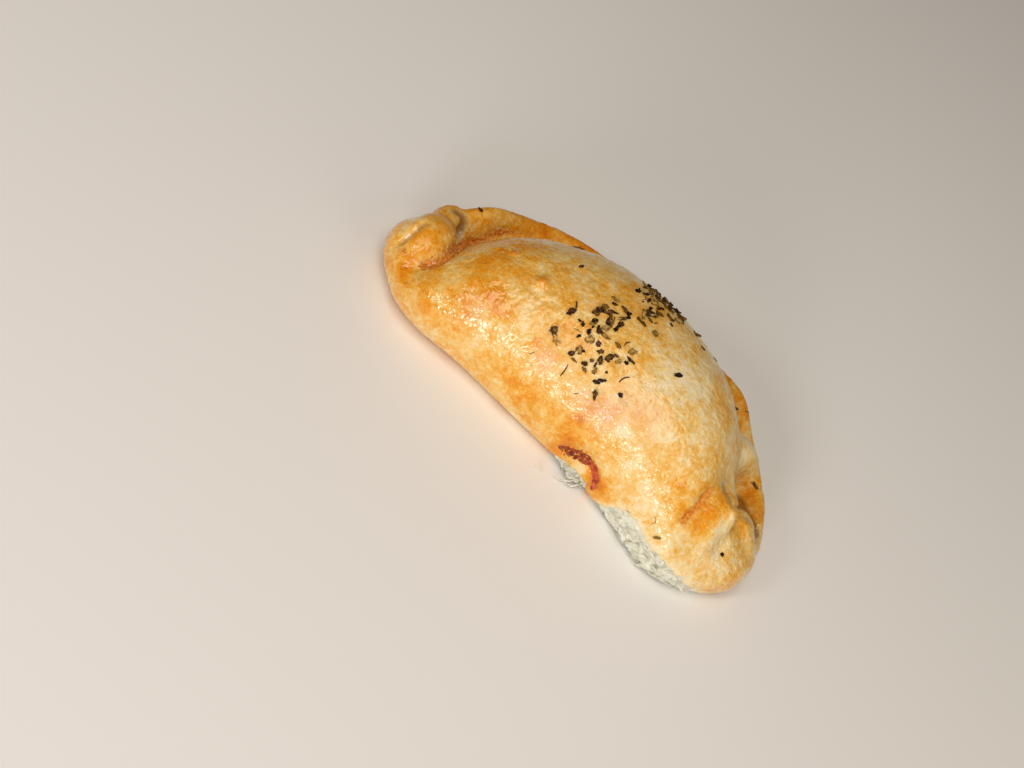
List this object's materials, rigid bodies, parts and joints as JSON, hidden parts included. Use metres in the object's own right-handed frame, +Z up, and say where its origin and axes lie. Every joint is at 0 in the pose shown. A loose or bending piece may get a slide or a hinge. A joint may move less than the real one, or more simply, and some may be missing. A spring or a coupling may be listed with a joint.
{
  "type": "baked empanada",
  "caption": "Half-moon pastry turnover with a plump domed body, a rounded fold, an upturned sealed rim and turned-in corners, baked golden and glossy.",
  "frame": {"origin": "on the table, under the middle of the bounding box", "axes": "+X along the fold, towards the corner with the single tall ridge; +Y from the fold to the rim; +Z up"},
  "size_m": [0.1475, 0.0823, 0.0399],
  "materials": {
    "crust": null
  },
  "bodies": {
    "root": {"empanada": "crust"}
  },
  "joints": []
}
